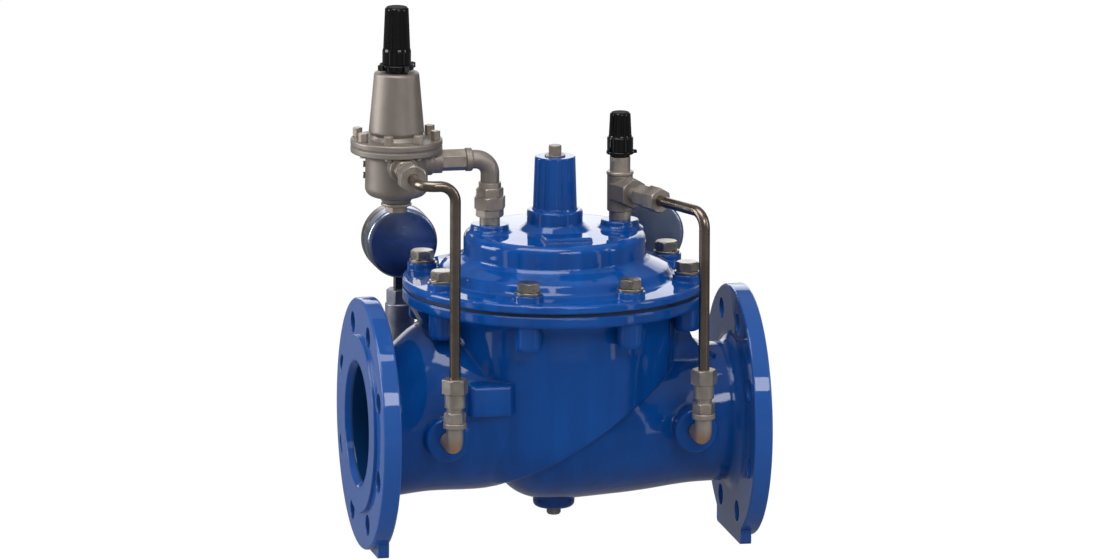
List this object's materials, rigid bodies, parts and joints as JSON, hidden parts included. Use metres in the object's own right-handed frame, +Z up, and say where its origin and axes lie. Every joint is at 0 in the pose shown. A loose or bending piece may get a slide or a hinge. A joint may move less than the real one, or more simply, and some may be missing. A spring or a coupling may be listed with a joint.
{
  "type": "pressure reducing valve",
  "caption": "Flanged pilot-operated pressure reducing valve: globe body under a domed cover, spring-loaded pilot, needle valve, control tubes and rear gauges.",
  "frame": {"origin": "centre of the outlet flange's sealing face, on the pipe axis", "axes": "+X along the pipe from the outlet flange to the inlet flange, +Z up along the main stem, -Y the front with the control tubes"},
  "size_m": [0.3555, 0.29, 0.4785],
  "materials": {
    "blue_epoxy": "glossy epoxy coating over cast iron",
    "dark_bolt_steel": "satin stainless steel",
    "cast_steel": "matt cast stainless steel",
    "fitting_steel": "machined stainless steel",
    "tube_steel": "drawn stainless tube",
    "trim_steel": "machined stainless steel",
    "spring_steel": "drawn spring wire",
    "bronze": "machined bronze",
    "black_rubber": "matt rubber",
    "black_plastic": "glossy moulded plastic",
    "gauge_steel": "polished sheet steel",
    "clear_window": "clear",
    "white_dial": "matt white enamel",
    "black_pointer": "matt black enamel"
  },
  "bodies": {
    "valve_body": {"body": "blue_epoxy", "cover": "blue_epoxy", "cover_bolts": "dark_bolt_steel", "cover_washers": "dark_bolt_steel", "tower_plug": "dark_bolt_steel", "drain_plug": "dark_bolt_steel", "pilot_flange_screws": "dark_bolt_steel", "pilot_body": "cast_steel", "pilot_spring_housing": "cast_steel", "pilot_bottom_plug": "fitting_steel", "pilot_side_screws": "fitting_steel", "pilot_link_nipple": "fitting_steel", "link_elbow": "fitting_steel", "link_union_tail": "fitting_steel", "link_union_nut": "fitting_steel", "link_boss_nipple": "fitting_steel", "needle_nipple": "fitting_steel", "needle_valve_body": "fitting_steel", "needle_gland": "fitting_steel", "tube_connectors": "fitting_steel", "tube_nuts": "fitting_steel", "tube_ferrules": "fitting_steel", "port_elbows": "fitting_steel", "gauge_elbows": "fitting_steel", "gauge_adapters": "fitting_steel", "inlet_tube": "tube_steel", "outlet_tube": "tube_steel", "pilot_seat": "trim_steel", "main_spring": "spring_steel", "pilot_spring": "spring_steel", "seat_ring": "bronze", "stem_bush": "bronze", "main_diaphragm": "black_rubber", "pilot_diaphragm": "black_rubber", "pilot_cap_collar": "black_plastic", "needle_cap_collar": "black_plastic", "gauge_cases": "gauge_steel", "gauge_bezel_rings": "gauge_steel", "gauge_windows": "clear_window", "gauge_dials": "white_dial"},
    "disc_assembly": {"main_stem": "trim_steel", "disc_guide": "trim_steel", "disc_seal": "black_rubber", "disc_retainer": "trim_steel", "guide_nut": "trim_steel", "lower_diaphragm_plate": "trim_steel", "upper_diaphragm_plate": "trim_steel", "stem_nut": "trim_steel"},
    "pilot_poppet": {"pilot_stem": "trim_steel", "pilot_lower_spring_plate": "trim_steel"},
    "pilot_spring_top": {"pilot_upper_spring_plate": "trim_steel"},
    "pilot_screw": {"pilot_adjusting_screw": "trim_steel"},
    "lock_nut": {"pilot_lock_nut": "trim_steel"},
    "pilot_cap": {"pilot_cap": "black_plastic"},
    "needle_tip": {"needle_plug": "trim_steel"},
    "needle_screw": {"needle_spindle": "trim_steel"},
    "needle_cap": {"needle_cap": "black_plastic"},
    "outlet_pointer": {"outlet_gauge_pointer": "black_pointer"},
    "inlet_pointer": {"inlet_gauge_pointer": "black_pointer"}
  },
  "joints": [
    {"name": "disc_lift", "type": "slide", "parent": "valve_body", "child": "disc_assembly", "axis": [0, 0, 1], "range_m": [0, 0.022], "stiffness_N_per_m": 1500, "springref_m": -0.02, "deforming": ["main_spring", "main_diaphragm"]},
    {"name": "pilot_poppet_lift", "type": "slide", "parent": "valve_body", "child": "pilot_poppet", "axis": [0, 0, 1], "range_m": [0, 0.003], "stiffness_N_per_m": 4000, "springref_m": -0.004, "deforming": ["pilot_diaphragm"]},
    {"name": "pilot_spring_top_travel", "type": "slide", "parent": "valve_body", "child": "pilot_spring_top", "axis": [0, 0, 1], "range_m": [-0.0075, 0.003], "deforming": ["pilot_spring"]},
    {"name": "pilot_adjusting_turn", "type": "hinge", "parent": "pilot_spring_top", "child": "pilot_screw", "pos_m": [0.0345, 0, 0.32], "axis": [0, 0, 1], "range_deg": [-1800, 720]},
    {"name": "lock_nut_turn", "type": "hinge", "parent": "valve_body", "child": "lock_nut", "pos_m": [0.0345, 0, 0.325], "axis": [0, 0, 1], "range_deg": [0, 90]},
    {"name": "pilot_cap_lift", "type": "slide", "parent": "valve_body", "child": "pilot_cap", "axis": [0, 0, 1], "range_m": [0, 0.06]},
    {"name": "needle_tip_travel", "type": "slide", "parent": "valve_body", "child": "needle_tip", "axis": [0, 0, 1], "range_m": [-0.0065, 0.003]},
    {"name": "needle_spindle_turn", "type": "hinge", "parent": "needle_tip", "child": "needle_screw", "pos_m": [0.2327, 0, 0.22], "axis": [0, 0, 1], "range_deg": [-2340, 1080]},
    {"name": "needle_cap_lift", "type": "slide", "parent": "valve_body", "child": "needle_cap", "axis": [0, 0, 1], "range_m": [0, 0.035]},
    {"name": "outlet_pointer_turn", "type": "hinge", "parent": "valve_body", "child": "outlet_pointer", "pos_m": [0.065, 0.15, 0.1318], "axis": [0, -1, 0], "range_deg": [0, 270], "stiffness_Nm_per_rad": 0.002, "springref_deg": -11.46},
    {"name": "inlet_pointer_turn", "type": "hinge", "parent": "valve_body", "child": "inlet_pointer", "pos_m": [0.285, 0.15, 0.1318], "axis": [0, -1, 0], "range_deg": [0, 270], "stiffness_Nm_per_rad": 0.002, "springref_deg": -11.46}
  ],
  "couplings": [
    {"joint": "pilot_spring_top_travel", "follows": "pilot_adjusting_turn", "m_per_rad": 0.00023873},
    {"joint": "needle_tip_travel", "follows": "needle_spindle_turn", "m_per_rad": 0.00015915}
  ]
}
